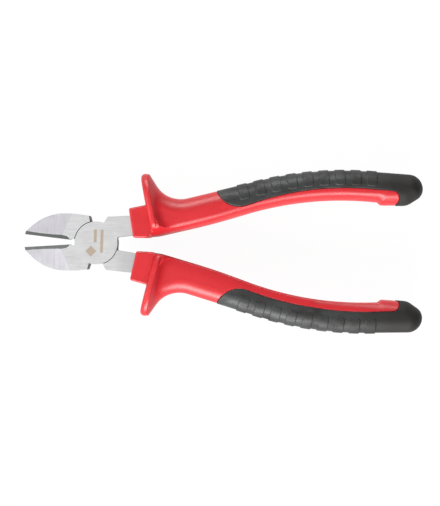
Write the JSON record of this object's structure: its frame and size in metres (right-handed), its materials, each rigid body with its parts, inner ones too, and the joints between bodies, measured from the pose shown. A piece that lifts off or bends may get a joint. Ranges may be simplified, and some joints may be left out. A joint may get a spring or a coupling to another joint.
{
  "type": "diagonal cutting pliers",
  "caption": "Diagonal cutting pliers with a riveted lap joint, bevelled cutting jaws and guarded two-component handles with ribbed soft grips",
  "frame": {"origin": "On the pivot axis, in the flat rear face of the joint. The rear face lies in the plane z = 0 and the front face in the plane z = 10 mm", "axes": "+X runs from the pivot to the handles, so the jaws point to -X, +Y to the handle of the front half, +Z along the pivot axis, out of the front face. At rest the cutting edges are open by 10.2 degrees and the X axis halves them"},
  "size_m": [0.1816, 0.0745, 0.022],
  "materials": {
    "tool_steel": "forged tool steel with ground faces, fine grinding lines",
    "rivet_steel": "steel rivet ground flush with the joint",
    "hard_plastic": "hard red plastic with a satin gloss",
    "soft_plastic": "soft black plastic, matt with a fine grain"
  },
  "bodies": {
    "front": {"front_jaw": "tool_steel", "pivot_rivet": "rivet_steel", "front_handle_sleeve": "hard_plastic", "front_handle_grip": "soft_plastic"},
    "rear": {"rear_jaw": "tool_steel", "rear_handle_sleeve": "hard_plastic", "rear_handle_grip": "soft_plastic"}
  },
  "joints": [
    {"name": "pivot", "type": "hinge", "parent": "front", "child": "rear", "pos_m": [0, 0, 0], "axis": [0, 0, -1], "range_deg": [-10.1, 31.5]}
  ]
}
